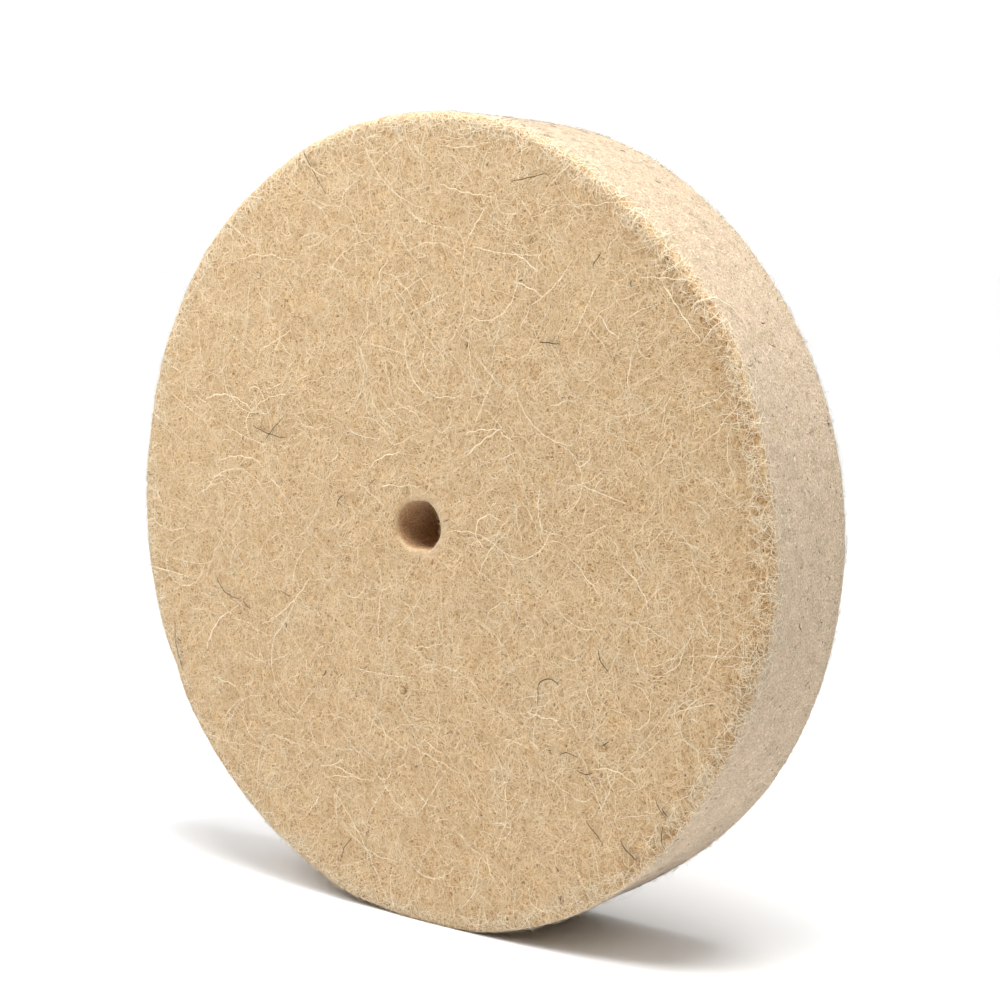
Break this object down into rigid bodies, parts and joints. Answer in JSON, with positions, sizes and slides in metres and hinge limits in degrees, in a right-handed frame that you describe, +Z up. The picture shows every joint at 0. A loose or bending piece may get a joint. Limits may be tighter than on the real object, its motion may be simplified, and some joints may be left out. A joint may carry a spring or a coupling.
{
  "type": "felt polishing wheel",
  "caption": "Solid round disc of pressed wool felt with soft edges and a plain round hole through its centre for a polishing arbor.",
  "frame": {"origin": "the wheel's centre: on the axis of the arbor hole, half way through the width", "axes": "+Y along the axis that the wheel spins about, from the front face to the back face; +Z up as the wheel stands on its rim; +X to the right seen from the front face"},
  "size_m": [0.15, 0.025, 0.15],
  "materials": {
    "wool_felt": "pressed wool felt: matt, matted fine pale hairs on both faces, a smoother cut rim"
  },
  "bodies": {
    "root": {"felt_disc": "wool_felt"}
  },
  "joints": []
}
